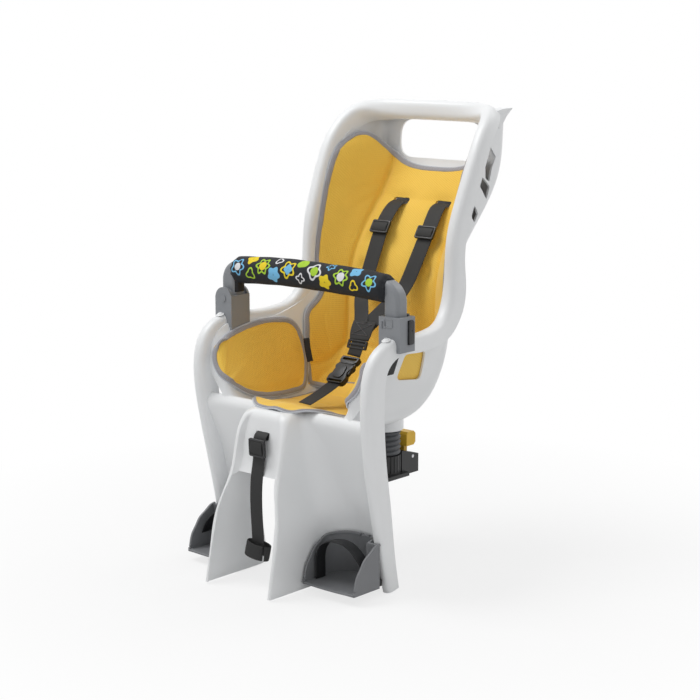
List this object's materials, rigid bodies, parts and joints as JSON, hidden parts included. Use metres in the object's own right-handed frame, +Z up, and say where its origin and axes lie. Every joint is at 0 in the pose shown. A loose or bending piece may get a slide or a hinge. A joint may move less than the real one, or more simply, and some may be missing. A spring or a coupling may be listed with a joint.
{
  "type": "child bike seat",
  "caption": "Rear child seat for a bicycle: moulded bucket with leg guards, padded harness, swinging handrail, sliding footrests and a sprung rack base.",
  "frame": {"origin": "middle of the rail channel on the underside of the base, where it rests on the rack", "axes": "+Z up, the child faces -Y, +X is the child's left"},
  "size_m": [0.4245, 0.546, 0.8013],
  "materials": {
    "shell": "satin",
    "black_plastic": "matte",
    "grey_plastic": "matte",
    "yellow_plastic": "satin",
    "rubber_boot": "matte",
    "steel": "brushed",
    "tube_grey": "satin",
    "foam_sleeve": "matte",
    "pad_yellow": "matte",
    "webbing": "matte"
  },
  "bodies": {
    "rack_base": {"mounting_base": "black_plastic", "spring_cup": "black_plastic", "suspension_spring": "steel", "bellows": "rubber_boot", "pivot_pin": "steel", "lever_pin": "steel"},
    "seat": {"seat_shell": "shell", "pivot_bracket": "black_plastic", "hinge_bracket": "grey_plastic", "latch_bracket": "grey_plastic", "hinge_rivet": "steel", "shoulder_strap_right": "webbing", "shoulder_strap_left": "webbing", "harness_yoke": "webbing", "ladder_lock_right": "black_plastic", "ladder_lock_left": "black_plastic", "buckle_socket": "black_plastic", "buckle_tongue": "black_plastic", "crotch_strap": "webbing", "waist_strap_right": "webbing", "waist_strap_left": "webbing", "security_strap": "webbing", "security_buckle": "black_plastic", "back_pad": "pad_yellow", "seat_pad": "pad_yellow", "side_pad_left": "pad_yellow", "side_pad_right": "pad_yellow"},
    "handrail": {"handrail_tube": "tube_grey", "handrail_sleeve": "foam_sleeve"},
    "latch": {"latch_button": "black_plastic"},
    "footrest_left": {"footrest_left": "grey_plastic", "foot_strap_left": "rubber_boot", "foot_clip_left": "black_plastic"},
    "footrest_right": {"footrest_right": "grey_plastic", "foot_strap_right": "rubber_boot", "foot_clip_right": "black_plastic"},
    "lever": {"release_lever": "yellow_plastic"}
  },
  "joints": [
    {"name": "seat_rock", "type": "hinge", "parent": "rack_base", "child": "seat", "pos_m": [0, -0.075, 0.048], "axis": [1, 0, 0], "range_deg": [-4, 0], "stiffness_Nm_per_rad": 400, "springref_deg": 2.29, "deforming": ["suspension_spring", "bellows"]},
    {"name": "handrail_swing", "type": "hinge", "parent": "seat", "child": "handrail", "pos_m": [-0.188, -0.122, 0.334], "axis": [0, -1, 0], "range_deg": [0, 95]},
    {"name": "latch_press", "type": "slide", "parent": "seat", "child": "latch", "axis": [-1, 0, 0], "range_m": [0, 0.0025], "stiffness_N_per_m": 600, "springref_m": -0.002},
    {"name": "footrest_left_height", "type": "slide", "parent": "seat", "child": "footrest_left", "axis": [0, -0.213, 0.977], "range_m": [0, 0.08]},
    {"name": "footrest_right_height", "type": "slide", "parent": "seat", "child": "footrest_right", "axis": [0, -0.213, 0.977], "range_m": [0, 0.08]},
    {"name": "release_lever_pull", "type": "hinge", "parent": "rack_base", "child": "lever", "pos_m": [0, 0.126, 0.031], "axis": [-1, 0, 0], "range_deg": [0, 12], "stiffness_Nm_per_rad": 2, "springref_deg": -5.73}
  ]
}
